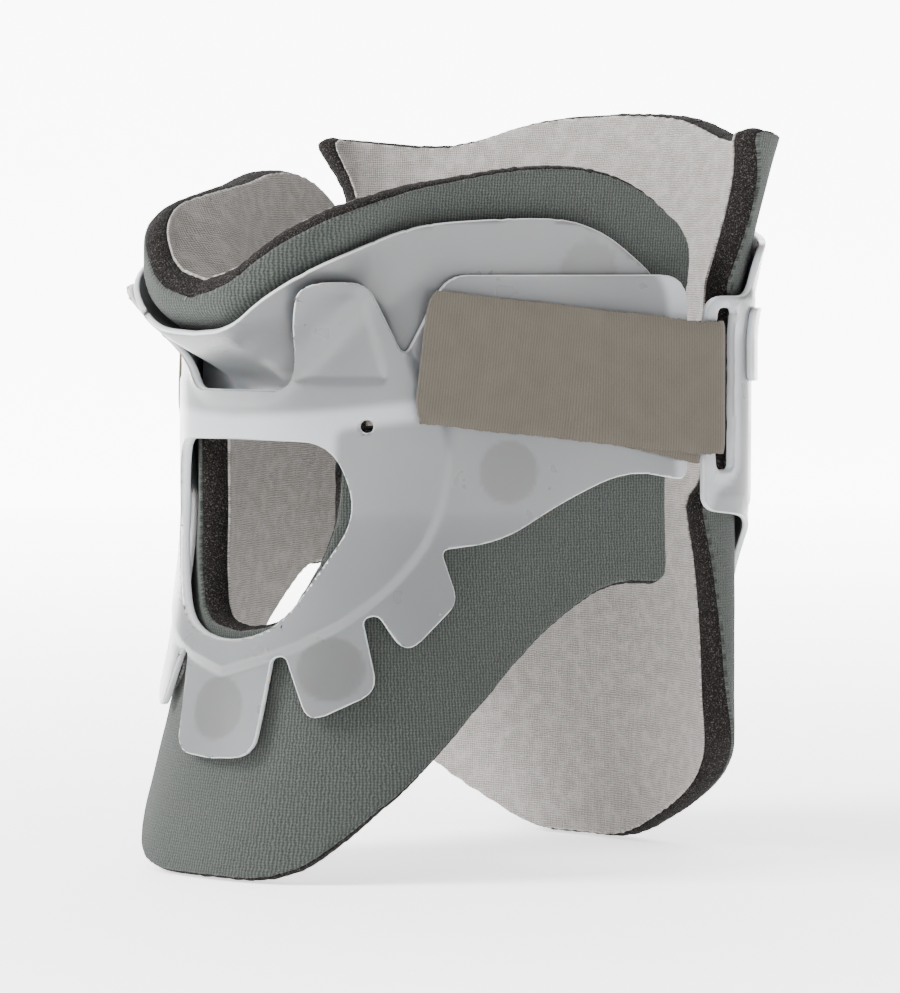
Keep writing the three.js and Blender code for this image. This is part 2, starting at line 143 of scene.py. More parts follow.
def front_surface(s, z, d):
    """The front plate's surface: the chin's lean starts in a soft bend at the foot of the uprights."""
    bend = 0.02 + 4 * (1 - smoothstep(8, 66, girth_from_front(s))) ** 1.3
    chin = bend * np.logaddexp(0, chin_flare(s, z) / bend)
    return on_waist(s, chin + 2.4 * (1 - np.exp(-chin / 2.8)) + chest_flare(s, z) + d, z)


def chin_surface(s, z, d):
    lean = math.radians(40) * (1 - smoothstep(0, 80, girth_from_front(s)))
    return on_waist(s, chin_flare(s, z) + d * np.cos(lean), z - d * np.sin(lean))


def back_surface(s, z, d):
    return on_waist(s, 12 * np.clip((z - 150) / 55, 0, None) ** 1.3 + d, z)


# ---------------------------------------------------------------- flat patterns
def mirror_half(half):
    return half + [(-s, z, *rest) for s, z, *rest in reversed(half[1:-1])]


def filleted(corners, centre=0.0, steps=7):
    """A corner list of (s, z, fillet radius) as a dense anticlockwise outline."""
    points = [np.array((c[0] + centre, c[1]), float) for c in corners]
    radii = [c[2] if len(c) > 2 else 0 for c in corners]
    out = []
    for i, here in enumerate(points):
        before, after = points[i - 1], points[(i + 1) % len(points)]
        gap_before, gap_after = np.linalg.norm(before - here), np.linalg.norm(after - here)
        reach = min(radii[i], gap_before * 0.48, gap_after * 0.48)
        if reach == 0:
            out.append(here)
            continue
        enter = here + (before - here) * reach / gap_before
        leave = here + (after - here) * reach / gap_after
        for t in np.linspace(0, 1, steps):
            out.append((1 - t) ** 2 * enter + 2 * t * (1 - t) * here + t * t * leave)
    area = sum(a[0] * b[1] - b[0] * a[1] for a, b in zip(out, out[1:] + out[:1]))
    return out if area > 0 else out[::-1]


def inset(outline, depth):
    """An anticlockwise outline moved inward by depth."""
    ring = np.array(outline)
    along = np.roll(ring, -1, axis=0) - np.roll(ring, 1, axis=0)
    along /= np.maximum(np.linalg.norm(along, axis=1), 1e-9)[:, None]
    return list(ring + depth * np.stack([-along[:, 1], along[:, 0]], axis=1))


def circle(s, z, radius, steps=20):
    return [np.array((s + radius * math.cos(a), z + radius * math.sin(a)))
            for a in np.linspace(0, 2 * math.pi, steps, endpoint=False)]


def lattice(low, high, step):
    return np.arange(math.floor(low / step) + 0.5, high / step) * step


def fill_pattern(outline, holes=(), step=None):
    """Points and anticlockwise faces of a flat pattern, divided into small cells."""
    step = step or (FINE)
    mesh = bmesh.new()
    for loop in [outline, *holes]:
        verts = [mesh.verts.new((p[0], p[1], 0)) for p in loop]
        for a, b in zip(verts, verts[1:] + verts[:1]):
            mesh.edges.new((a, b))
    bmesh.ops.triangle_fill(mesh, edges=mesh.edges[:], use_beauty=True, normal=(0, 0, 1))
    low, high = np.min(outline, axis=0), np.max(outline, axis=0)
    for axis in (0, 1):
        normal = (1, 0, 0) if axis == 0 else (0, 1, 0)
        for cut in lattice(low[axis], high[axis], step):
            geometry = mesh.verts[:] + mesh.edges[:] + mesh.faces[:]
            bmesh.ops.bisect_plane(mesh, geom=geometry, dist=1e-6, plane_co=[cut * n for n in normal],
                                   plane_no=normal)
    bmesh.ops.remove_doubles(mesh, verts=mesh.verts[:], dist=0.14 * step)
    mesh.verts.index_update()
    points = np.array([v.co[:2] for v in mesh.verts])
    faces = []
    for face in mesh.faces:
        loop = [v.index for v in face.verts]
        ring = points[loop]
        turn = np.sum(ring[:, 0] * np.roll(ring[:, 1], -1) - np.roll(ring[:, 0], -1) * ring[:, 1])
        if abs(turn) > 1e-7:
            faces.append(loop if turn > 0 else loop[::-1])
    mesh.free()
    return points, faces


def free_edges(faces):
    edges = {(a, b) for loop in faces for a, b in zip(loop, loop[1:] + loop[:1])}
    return [(a, b) for a, b in edges if (b, a) not in edges]


def edge_normals(points, edges):
    """Unit outward direction in the pattern plane at each vertex of the free edges."""
    outward = np.zeros_like(points)
    for a, b in edges:
        along = points[b] - points[a]
        across = np.array((along[1], -along[0]))
        outward[a] += across
        outward[b] += across
    length = np.linalg.norm(outward, axis=1)
    return outward / np.maximum(length, 1e-9)[:, None]


def wobble(points, size):
    """Repeatable small unevenness along a cut edge."""
    s, z = points[:, 0], points[:, 1]
    return size * (np.sin(1.9 * s + 0.7 * z) + np.sin(0.83 * z - 1.3 * s + 1) + np.sin(3.1 * s + 2.3 * z)) / 3


# ---------------------------------------------------------------- building objects
def new_object(name, verts, faces, material, uvs=None, sharp=50, masks=None):
    data = bpy.data.meshes.new(name)
    data.from_pydata([tuple(v) for v in np.asarray(verts) * MM], [], faces)
    for key, values in (masks or {}).items():
        layer = data.attributes.new(key, "FLOAT", "POINT")
        layer.data.foreach_set("value", np.asarray(values, dtype=np.float32))
    data.materials.append(material)
    if uvs is not None:
        layer = data.uv_layers.new(name="pattern")
        corners = np.empty(len(data.loops), dtype=np.int32)
        data.loops.foreach_get("vertex_index", corners)
        layer.data.foreach_set("uv", np.asarray(uvs, dtype=np.float32)[corners].ravel())
    data.validate()
    data.shade_smooth()
    data.set_sharp_from_angle(angle=math.radians(sharp))
    obj = bpy.data.objects.new(name, data)
    bpy.context.scene.collection.objects.link(obj)
    return obj


def layer_object(name, pattern, place, rim, material, relief=None, ragged=0.0, sharp=80, mask=None):
    """A bent layer. rim lists (offset, push) from its outer face to its inner face: push moves
    the pattern's edge outward, so the list is the profile of the cut edge."""
    points, faces = pattern
    edges = free_edges(faces)
    on_edge = sorted({v for edge in edges for v in edge})
    slot_of = {v: i for i, v in enumerate(on_edge)}
    outward = edge_normals(points, edges)
    uneven = wobble(points, ragged) if ragged else np.zeros(len(points))
    outer_lift, inner_lift = relief(points) if relief else (0, 0)

    def ring(offset, push, lift=0):
        moved = points + outward * (push + uneven)[:, None]
        return place(moved[:, 0], moved[:, 1], offset + lift)

    blocks = [ring(rim[0][0], np.full(len(points), rim[0][1]), outer_lift)]
    for offset, push in rim[1:-1]:
        blocks.append(ring(offset, np.full(len(points), push))[on_edge])
    blocks.append(ring(rim[-1][0], np.full(len(points), rim[-1][1]), inner_lift))
    starts = np.cumsum([0] + [len(b) for b in blocks])

    def index(level, v):
        inner_level = 0 < level < len(blocks) - 1
        return int(starts[level] + (slot_of[v] if inner_level else v))

    out_faces = [list(face) for face in faces]
    for level in range(len(blocks) - 1):
        for a, b in edges:
            out_faces.append([index(level, b), index(level, a), index(level + 1, a), index(level + 1, b)])
    out_faces += [[int(starts[-2]) + v for v in reversed(face)] for face in faces]
    flat = [points] + [points[on_edge]] * (len(blocks) - 2) + [points]
    flat = np.vstack(flat)
    masks = mask(flat) if mask else {}
    # rim marks the vertices of the cut edges, where the shell plastics paint a highlight
    masks["rim"] = np.zeros(len(flat))
    masks["rim"][starts[1]:starts[-2]] = 1
    return new_object(name, np.vstack(blocks), out_faces, material, flat / 100, sharp, masks)


def place_piece(obj, body, slot, *nodes):
    """Rides a piece on its body and takes over its CAD nodes; slot is not used."""
    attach(obj, body)
    if nodes:
        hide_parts(*nodes)


# ---------------------------------------------------------------- materials
class Look:
    """A node material under construction."""

    def __init__(self, name):
        self.material = bpy.data.materials.new(name)
        self.material.use_nodes = True
        self.tree = self.material.node_tree
        self.shader = self.tree.nodes["Principled BSDF"]

    def node(self, kind, inputs=None, **settings):
        node = self.tree.nodes.new(kind)
        for key, value in settings.items():
            setattr(node, key, value)
        for key, value in (inputs or {}).items():
            self.feed(node.inputs[key], value)
        return node

    def feed(self, socket, value):
        if isinstance(value, bpy.types.NodeSocket):
            self.tree.links.new(value, socket)
        else:
            socket.default_value = value

    def coords(self, output="Object"):
        return self.node("ShaderNodeTexCoord").outputs[output]

    def noise(self, scale, detail=3, vector=None, rough=0.5):
        inputs = {"Scale": scale, "Detail": detail, "Roughness": rough,
                  "Vector": vector or self.coords()}
        return self.node("ShaderNodeTexNoise", inputs).outputs["Fac"]

    def math(self, operation, a, b=0.0):
        return self.node("ShaderNodeMath", {0: a, 1: b}, operation=operation).outputs[0]

    def stripes(self, axis, per_unit, warp, vector=None):
        """Sine stripes, 0 to 1, across U or V, bent a little by warp."""
        split = self.node("ShaderNodeSeparateXYZ", {0: vector or self.coords("UV")})
        bent = self.math("ADD", split.outputs[axis], warp)
        wave = self.math("SINE", self.math("MULTIPLY", bent, per_unit * 2 * math.pi))
        return self.math("MULTIPLY_ADD", wave, 0.5)

    def ramp(self, value, stops):
        node = self.node("ShaderNodeValToRGB", {"Fac": value})
        ramp = node.color_ramp
        while len(ramp.elements) < len(stops):
            ramp.elements.new(0.5)
        for element, (place, colour) in zip(ramp.elements, stops):
            element.position = place
            element.color = (*colour, 1)
        return node.outputs["Color"]

    def mix(self, factor, a, b, blend="MIX"):
        node = self.node("ShaderNodeMix", data_type="RGBA", blend_type=blend)
        for socket, value in zip((0, 6, 7), (factor, a, b)):
            colour = (*value, 1) if isinstance(value, tuple) else value
            self.feed(node.inputs[socket], colour)
        return node.outputs[2]

    def bump(self, height, strength, distance):
        inputs = {"Height": height, "Strength": strength, "Distance": distance}
        node = self.node("ShaderNodeBump", inputs)
        self.feed(self.shader.inputs["Normal"], node.outputs["Normal"])

    def finish(self, **values):
        for key, value in values.items():
            self.feed(self.shader.inputs[key.replace("_", " ")], value)
        return self.material


def shell_plastic(name="shell_plastic", light=1.0):
    """Milky polyethylene: the pads and hook dots behind it are painted in as see-through shade, and cut edges
    get a painted highlight.
    """
    look = Look(name)
    backing = look.node("ShaderNodeAttribute", attribute_name="backing").outputs["Fac"]
    rim = look.node("ShaderNodeAttribute", attribute_name="rim").outputs["Fac"]
    cloud = look.noise(18, 4)
    # painted see-through shade: lightest where nothing lies behind, darker over a pad, darkest over a hook
    # dot
    tints = [(0.0, (0.29, 0.302, 0.32)), (0.5, (0.115, 0.12, 0.124)), (1.0, (0.083, 0.084, 0.085))]
    body = look.ramp(backing, [(place, tuple(c * light for c in tint)) for place, tint in tints])
    shade = look.ramp(cloud, [(0.3, (0.93, 0.93, 0.935)), (0.7, (1.0, 1.0, 1.0))])
    # painted highlight: the rim mask, the vertices of the cut edges, is mixed to light grey
    colour = look.mix(rim, look.mix(1.0, body, shade, "MULTIPLY"), (0.42, 0.44, 0.455))
    rough = look.ramp(look.noise(70, 3), [(0.3, (0.27, 0.27, 0.27)), (0.75, (0.36, 0.36, 0.36))])
    fine = look.math("MULTIPLY", look.noise(900, 2), 0.2)
    look.bump(look.math("ADD", look.noise(60, 2), fine), 0.05, 0.0003)
    return look.finish(Base_Color=colour, Roughness=rough, IOR=1.5, Subsurface_Weight=0.25,
                       Subsurface_Scale=0.003, Coat_Weight=0.3, Coat_Roughness=0.2)


def knit_fabric():
    look = Look("knit_cover")
    uv = look.coords("UV")
    warp = look.math("MULTIPLY", look.noise(60, 3, uv), 0.012)
    ribs = look.stripes(0, 112, warp, uv)
    loops = look.stripes(1, 125, warp, uv)
    fuzz = look.noise(760, 5, uv, 0.8)
    clumps = look.noise(150, 4, uv, 0.65)
    weave = look.math("ADD", look.math("MULTIPLY", ribs, 0.75), look.math("MULTIPLY", loops, 0.35))
    tone = look.math("ADD", look.math("MULTIPLY", weave, 0.13), look.math("MULTIPLY", fuzz, 0.82))
    yarn = look.ramp(tone, [(0.36, (0.009, 0.011, 0.01)), (0.5, (0.053, 0.059, 0.054)),
                            (0.7, (0.165, 0.183, 0.17))])
    shade = look.ramp(clumps, [(0.32, (0.72, 0.74, 0.72)), (0.68, (1.08, 1.08, 1.08))])
    colour = look.mix(1.0, yarn, shade, "MULTIPLY")
    look.bump(look.math("ADD", look.math("MULTIPLY", weave, 0.35), fuzz), 0.8, 0.0006)
    return look.finish(Base_Color=colour, Roughness=0.95, Sheen_Weight=0.08, Sheen_Roughness=0.5,
                       Specular_IOR_Level=0.1)


def cut_foam():
    look = Look("foam_core")
    cells = look.node("ShaderNodeTexVoronoi", {"Vector": look.coords(), "Scale": 2600.0,
                                               "Randomness": 1.0})
    grain = look.noise(3800, 4, rough=0.8)
    tone = look.math("ADD", look.math("MULTIPLY", cells.outputs["Distance"], 0.4),
                     look.math("MULTIPLY", grain, 0.75))
    colour = look.ramp(tone, [(0.42, (0.003, 0.0026, 0.0026)), (0.62, (0.009, 0.0078, 0.0075)),
                              (0.78, (0.085, 0.075, 0.07))])
    look.bump(tone, 0.9, 0.0008)
    return look.finish(Base_Color=colour, Roughness=0.95, Specular_IOR_Level=0.1)


def cotton_weave():
    look = Look("cotton_lining")
    uv = look.coords("UV")
    warp = look.math("MULTIPLY", look.noise(45, 3, uv), 0.01)
    threads = look.stripes(0, 150, warp, uv)
    picks = look.stripes(1, 150, warp, uv)
    across = look.node("ShaderNodeMapping", {"Vector": uv, "Scale": (30.0, 420.0, 1.0)})
    down = look.node("ShaderNodeMapping", {"Vector": uv, "Scale": (420.0, 30.0, 1.0)})
    slub = look.math("MAXIMUM", look.noise(1, 3, across.outputs["Vector"]),
                     look.noise(1, 3, down.outputs["Vector"]))
    weave = look.math("MULTIPLY", threads, picks)
    flecks = look.noise(520, 3, uv, 0.7)
    tone = look.math("ADD", look.math("MULTIPLY", weave, 0.16), look.math("MULTIPLY", slub, 0.6))
    tone = look.math("ADD", tone, look.math("MULTIPLY", flecks, 0.3))
    gaps = look.math("MULTIPLY", look.math("SUBTRACT", 1.0, threads), look.math("SUBTRACT", 1.0, picks))
    thin = look.ramp(look.noise(22, 3, uv), [(0.4, (0.12, 0.12, 0.12)), (0.62, (0.6, 0.6, 0.6))])
    tone = look.math("SUBTRACT", tone, look.math("MULTIPLY", gaps, thin))
    colour = look.ramp(tone, [(0.3, (0.14, 0.126, 0.114)), (0.52, (0.275, 0.262, 0.25)),
                              (0.66, (0.37, 0.355, 0.342))])
    look.bump(tone, 0.5, 0.0004)
    return look.finish(Base_Color=colour, Roughness=0.92, Sheen_Weight=0.05, Specular_IOR_Level=0.1)


def loop_webbing(name="strap_webbing", light=1.0):
    look = Look(name)
    uv = look.coords("UV")
    warp = look.math("MULTIPLY", look.noise(120, 2, uv), 0.003)
    ribs = look.stripes(0, 125, warp, uv)
    fuzz = look.noise(650, 4, uv, 0.7)
    blotch = look.noise(14, 3, uv)
    tone = look.math("ADD", look.math("MULTIPLY", ribs, 0.1), look.math("MULTIPLY", fuzz, 0.62))
    tone = look.math("ADD", tone, look.math("MULTIPLY", blotch, 0.1))
    stops = ((0.25, (0.048, 0.042, 0.033)), (0.42, (0.08, 0.071, 0.058)), (0.6, (0.115, 0.104, 0.087)))
    colour = look.ramp(tone, [(place, tuple(c * light for c in tint)) for place, tint in stops])
    look.bump(look.math("ADD", look.math("MULTIPLY", ribs, 0.2), fuzz), 0.45, 0.0004)
    return look.finish(Base_Color=colour, Roughness=0.92, Sheen_Weight=0.08, Sheen_Roughness=0.4,
                       Specular_IOR_Level=0.1)


def hook_tape():
    look = Look("hook_fastener")
    cells = look.node("ShaderNodeTexVoronoi", {"Vector": look.coords(), "Scale": 1100.0,
                                               "Randomness": 0.25})
    colour = look.ramp(cells.outputs["Distance"], [(0.1, (0.14, 0.14, 0.135)), (0.6, (0.06, 0.06, 0.058))])
    look.bump(cells.outputs["Distance"], 0.8, 0.0006)
    return look.finish(Base_Color=colour, Roughness=0.6)


def lit_sheet(name, near, far):
    """White paper that glows: near and far are (distance from the object in metres, glow); a lower near glow
    is painted shade around the object.
    """
    look = Look(name)
    place = look.node("ShaderNodeNewGeometry").outputs["Position"]
    reach = look.node("ShaderNodeVectorMath", {0: place}, operation="LENGTH").outputs["Value"]
    share = look.math("DIVIDE", look.math("SUBTRACT", reach, near[0]), far[0] - near[0])
    # painted shade: the glow rises from near[1] close to the object to far[1] farther out
    glow = look.ramp(share, [(0, (near[1],) * 3), (1, (far[1],) * 3)])
    tone = look.ramp(look.noise(3, 2), [(0.3, (0.93, 0.93, 0.93)), (0.7, (0.915, 0.915, 0.915))])
    return look.finish(Base_Color=tone, Roughness=0.9, Emission_Color=glow, Emission_Strength=5.0)


PLASTIC = shell_plastic()
# painted shade: the chin support uses the shell plastic at 0.78 of its light
CHIN_PLASTIC_SHADED = shell_plastic("chin_plastic_painted_shade", 0.78)
KNIT = knit_fabric()
FOAM = cut_foam()
COTTON = cotton_weave()
WEBBING = loop_webbing()
HOOK = hook_tape()
# painted light: the rivets use the shell plastic at 1.3 times its light
RIVET_PLASTIC_LIT = shell_plastic("rivet_plastic", 1.3)


# ---------------------------------------------------------------- front shell
SHELL_HALF = [(0, 136), (19, 136, 5), (28, 166, 5), (41, 166, 5), (51.5, 145, 4), (64, 168, 6),
              (138, 168, 9), (138, 109.5, 4), (119, 113, 10), (100, 105, 15), (80, 93.5, 15),
              (62, 91.5, 2.5), (66.5, 77, 4), (51, 62.5, 6), (44, 73.8, 2.4), (40, 72.8, 2.4), (44, 53, 5),
              (27, 44, 5), (19.8, 62.2, 2.4), (16, 61.6, 2.4), (13.5, 34, 6), (0, 33)]
TRACHEA_HALF = [(0, 122), (31, 121.5, 9), (39, 102, 14), (17, 69.5, 12), (0, 65, 10)]
RAISED_HALF = [(0, 200), (52, 200), (52, 145, 6), (60, 134, 6), (65, 122, 12), (63, 105, 14),
               (57, 92, 12), (46, 80, 14), (33, 70, 14), (18, 62.5, 12), (0, 57)]
INSET = [(21, 138.5, 1.5), (46.5, 138.5, 1.5), (39.8, 161.5, 1.5), (29.6, 161.5, 1.5)]
VENT = (41, 126, 1.8)
CHIN_RIVET = (105, 140)
SIDES = (("left", 1), ("right", -1))
FRONT, BACK = "front_half", "back_half"
TAB_DOT_CENTRE, TAB_DOT, WING_DOT, CHIN_DOT = (0, 47), (32, 59), (82, 113), (108, 169)
BACK_DOT_ACROSS, BACK_DOT_LEVELS = 30, (("upper", 172), ("lower", 62))
CHIN_SUPPORT_HALF = [(0, 149.5), (12, 150.5, 8), (28, 168, 14), (52, 181, 25), (80, 184, 25),
                     (108, 183.5, 20), (131, 166, 8), (131, 135, 6), (62, 134, 10),
                     (25, 130, 15), (0, 129)]
FRONT_PAD_HALF = [(0, 69), (15, 71, 8), (31, 95, 14), (33, 125, 3), (60, 128, 10), (134, 126, 5),
                  (134, 80, 6), (115, 81, 15), (93, 67, 20), (66, 40, 25), (44, 19, 20),
                  (24, 0, 12), (0, 0)]
CHIN_PAD_HALF = [(0, 157), (10, 160, 8), (27, 178, 14), (50, 190, 30), (85, 199, 35),
                 (118, 198, 20), (146, 179, 12), (144, 160, 6), (125, 150, 8), (60, 147, 15),
                 (25, 139, 12), (0, 137)]
BACK_PAD_HALF = [(0, 216), (30, 215, 20), (58, 206, 20), (97, 210, 6), (88, 188, 15),
                 (96, 164, 6), (92, 156, 6), (92, 112, 6), (104, 104, 5), (97, 75, 20),
                 (90, 38, 25), (52, 14, 25), (20, 0, 12), (0, 0)]

# each layer's outer and inner face, as offsets from the collar surface
FRONT_SHELL_FACES, CHIN_SUPPORT_FACES = (0, -2), (-3, -5)
BACK_SHELL_FACES, ANCHOR_FACES = (1, -1), (3.5, 1.5)
FRONT_DOT_FACES, CHIN_DOT_FACES, BACK_DOT_FACES = (-2.5, -3.6), (-5.4, -6.5), (-1.4, -2.5)
HOOK_TAPE_FACES, LOOP_PATCH_FACES = (2.3, 1.4), (1.2, 0.3)
# pads: outer face of the cover, cover to foam, foam to lining, inner face of the lining
FRONT_PAD_FACES = (-4.1, -5.0, -12.4, -13.2)
CHIN_PAD_FACES = (-7.9, -8.8, -16.2, -17.1)
BACK_PAD_FACES = (-3.0, -3.9, -11.6, -12.4)
PAD_INSET, DOT_RADIUS, RIVET_HOLE = 1.0, 9.5, 2.3
RAISED_HEIGHT, INSET_DEPTH = 0.9, 0.5
SHELL_FINE = 1.05             # facet size of the front plate, which has the most detail


def signed_distance(points, outline):
    """Distance to a closed outline, positive inside it."""
    ring = np.array(outline)
    a, b = ring, np.roll(ring, -1, axis=0)
    along = b - a
    reach = np.einsum("ij,ij->i", along, along)
    offset = points[:, None] - a[None]
    t = np.clip(np.einsum("nij,ij->ni", offset, along) / np.maximum(reach, 1e-9), 0, 1)
    gap = np.linalg.norm(offset - t[..., None] * along, axis=2).min(axis=1)
    x, y = points[:, 0:1], points[:, 1:2]
    rising = (a[:, 1] > y) != (b[:, 1] > y)
    slope = np.where(along[:, 1] == 0, 1e-9, along[:, 1])
    inside = (rising & (x < a[:, 0] + (y - a[:, 1]) / slope * along[:, 0])).sum(axis=1) % 2
    return np.where(inside == 1, gap, -gap)


def plateau(points, outline, height, half_width=1.4):
    return height * smoothstep(-half_width, half_width, signed_distance(points, outline))


def wear(points, size=0.12):
    """Shallow unevenness of a moulding that has been warmed and bent."""
    s, z = points[:, 0], points[:, 1]
    return size * (np.sin(0.11 * s + 0.05 * z) + np.sin(0.07 * z - 0.09 * s + 2))


def front_shell_relief(points):
    lift = plateau(points, filleted(mirror_half(RAISED_HALF)), RAISED_HEIGHT)
    for side in (1, -1):
        lift -= plateau(points, filleted([(side * s, z, r) for s, z, r in INSET]), INSET_DEPTH, 0.8)
    return lift + wear(points), 0


def see_through(pads, dots):
    """How much lies behind each point of a panel: 0 nothing, 0.5 a pad, 1 a hook dot; the plastic paints it
    as see-through shade.
    """
    def masks(points):
        backing = np.zeros(len(points))
        for pad in pads:
            backing = np.maximum(backing, 0.5 * smoothstep(-2, 1.5, signed_distance(points, pad)))
        for s, z in dots:
            gap = np.hypot(points[:, 0] - s, points[:, 1] - z)
            backing = np.where(gap < 10, np.maximum(backing, 1 - smoothstep(8.2, 10, gap)), backing)
        return {"backing": backing}
    return masks


def shell_rim(outer, inner, round_off=0.45):
    """The profile of a moulded edge, rounded outside and inside."""
    return [(outer, -round_off), (outer - round_off * 0.3, -round_off * 0.3),
            (outer - round_off, 0), (inner + round_off, 0),
            (inner + round_off * 0.3, -round_off * 0.3), (inner, -round_off)]


def build_front_shell():
    holes = [filleted(mirror_half(TRACHEA_HALF))]
    for side in (1, -1):
        holes.append(circle(side * VENT[0], *VENT[1:]))
        holes.append(circle(side * CHIN_RIVET[0], CHIN_RIVET[1], RIVET_HOLE))
    outline = filleted(mirror_half(SHELL_HALF))
    pattern = fill_pattern(outline, holes, SHELL_FINE)
    pads = [filleted(mirror_half(half)) for half in (FRONT_PAD_HALF, CHIN_SUPPORT_HALF)]
    dots = [TAB_DOT_CENTRE] + [(side * s, z) for side in (1, -1) for s, z in (TAB_DOT, WING_DOT)]
    mask = see_through(pads, dots)
    shell = layer_object("front_shell_moulding", pattern, front_surface, shell_rim(*FRONT_SHELL_FACES),
                         PLASTIC, front_shell_relief, mask=mask)
    place_piece(shell, FRONT, "shell_plastic", "front_shell")


# ---------------------------------------------------------------- chin support and rivets
def build_chin_support():
    holes = [circle(side * CHIN_RIVET[0], CHIN_RIVET[1], RIVET_HOLE) for side in (1, -1)]
    outline = filleted(mirror_half(CHIN_SUPPORT_HALF))
    dots = [(side * CHIN_DOT[0], CHIN_DOT[1]) for side in (1, -1)]
    mask = see_through([filleted(mirror_half(CHIN_PAD_HALF))], dots)
    support = layer_object("chin_support_moulding", fill_pattern(outline, holes), chin_surface,
                           shell_rim(*CHIN_SUPPORT_FACES), CHIN_PLASTIC_SHADED,
                           lambda points: (wear(points), 0), mask=mask)
    place_piece(support, FRONT, "shell_plastic", "chin_support")


def turned(name, profile, s, z, material, segments=40):
    """A solid turned about the waist's normal at girth s, from a profile of (radius, offset)."""
    base = on_waist(np.array([s]), 0, z)[0]
    normal = on_waist(np.array([s]), 1, z)[0] - base
    across = np.cross((0, 0, 1), normal)
    verts, faces = [], []
    for radius, out in profile:
        for turn in np.linspace(0, 2 * math.pi, segments, endpoint=False):
            spoke = across * math.cos(turn) + np.array((0, 0, 1)) * math.sin(turn)
            verts.append(base + normal * out + spoke * radius)
    for level in range(len(profile) - 1):
        for k in range(segments):
            a, b = level * segments + k, level * segments + (k + 1) % segments
            faces.append([a, b, b + segments, a + segments])
    faces.append(list(range(segments))[::-1])
    faces.append(list(range(len(verts) - segments, len(verts))))
    return new_object(name, verts, faces, material, sharp=40)


def build_rivets():
    inner, outer, head, shank = -5.3, 0.3, 4, 2
    profile = [(2.4, inner - 1), (3.3, inner - 0.9), (3.85, inner - 0.5), (head, inner),
               (shank, inner), (shank, outer), (head, outer), (3.85, outer + 0.45),
               (3.3, outer + 0.8), (2.2, outer + 0.9), (1.7, outer + 0.6), (0.5, outer + 0.55)]
    for label, side in SIDES:
        rivet = turned(f"chin_rivet_turned_{label}", profile, side * CHIN_RIVET[0], CHIN_RIVET[1], RIVET_PLASTIC_LIT)
        place_piece(rivet, FRONT, "rivet_plastic", f"chin_rivet_{label}")


# ---------------------------------------------------------------- pads, each a die-cut laminate
def undulation(points, size):
    """Soft waves of cloth bonded to foam, repeatable."""
    s, z = points[:, 0], points[:, 1]
    return size * (np.sin(0.17 * s + 0.09 * z) + np.sin(0.13 * z - 0.21 * s + 1.7)
                   + 0.5 * np.sin(0.41 * s + 0.37 * z)) / 2.5


def build_pad(name, body, half, place, levels, centre=0.0):
    """A cover, foam core and lining; levels is one of the pad tuples above."""
    outline = filleted(mirror_half(half), centre, 10)
    pattern = fill_pattern(inset(outline, PAD_INSET))
    cover_face, cover_back, lining_back, lining_face = levels

    cover_rim = [(cover_face, -0.4), (cover_face - 0.25, -0.1), (cover_back + 0.3, 0), (cover_back, 0)]
    cover = layer_object(f"{name}_cover_cloth", pattern, place, cover_rim, KNIT,
                         lambda points: (undulation(points, 0.18), 0), 0.16)
    place_piece(cover, body, "knit_cover", f"{name}_cover")

    thick = cover_back - lining_back
    crown = [(0, 0), (0.08, 0.5), (0.25, 0.9), (0.5, 1.1), (0.75, 0.9), (0.92, 0.5), (1, 0)]
    foam_rim = [(cover_back - 0.05 - (thick - 0.1) * share, push) for share, push in crown]
    foam = layer_object(f"{name}_foam_core", pattern, place, foam_rim, FOAM, None, 0.22, 70)
    place_piece(foam, body, "foam_core", f"{name}_foam")

    lining_rim = [(lining_back, 0), (lining_back - 0.3, 0.3), (lining_face + 0.2, 0.2), (lining_face, -0.3)]
    lining = layer_object(f"{name}_lining_cloth", pattern, place, lining_rim, COTTON,
                          lambda points: (0, undulation(points, 0.2)), 0.25)
    place_piece(lining, body, "cotton_lining", f"{name}_lining")


def build_pads():
    build_pad("front_pad", FRONT, FRONT_PAD_HALF, front_surface, FRONT_PAD_FACES)
    build_pad("chin_pad", FRONT, CHIN_PAD_HALF, chin_surface, CHIN_PAD_FACES)
    build_pad("back_pad", BACK, BACK_PAD_HALF, back_surface, BACK_PAD_FACES, BACK_CENTRE)


# ---------------------------------------------------------------- hook dots
def build_dot(name, body, s, z, dot_faces, place):
    outer, inner = dot_faces
    pattern = fill_pattern(circle(s, z, DOT_RADIUS, 48))
    rim = [(outer, -0.15), (outer - 0.15, 0), (inner, 0)]
    dot = layer_object(f"{name}_disc", pattern, place, rim, HOOK)
    place_piece(dot, body, "hook_fastener", name)


def build_dots():
    build_dot("tab_dot_centre", FRONT, *TAB_DOT_CENTRE, FRONT_DOT_FACES, front_surface)
    for label, side in SIDES:
        for name, (s, z), dot_faces, place in (("tab_dot", TAB_DOT, FRONT_DOT_FACES, front_surface),
                                               ("wing_dot", WING_DOT, FRONT_DOT_FACES, front_surface),
                                               ("chin_dot", CHIN_DOT, CHIN_DOT_FACES, chin_surface)):
            build_dot(f"{name}_{label}", FRONT, side * s, z, dot_faces, place)
        for level, z in BACK_DOT_LEVELS:
            build_dot(f"back_dot_{level}_{label}", BACK, BACK_CENTRE - side * BACK_DOT_ACROSS, z,
                      BACK_DOT_FACES, back_surface)


# ---------------------------------------------------------------- back shell and its loops
LOOP_BAR, LOOP_WIDTH = 103.5, 4
SLOT_INNER, SLOT_LOW, SLOT_HIGH = 95.5, 112.5, 158.5
BACK_SHELL_HALF = [(0, 185), (40, 185, 12), (86, 176, 6), (89, 162, 5), (105.5, 162, 6),
                   (105.5, 101, 5), (88, 99, 6), (66, 90, 14), (46, 46, 12), (0, 43)]
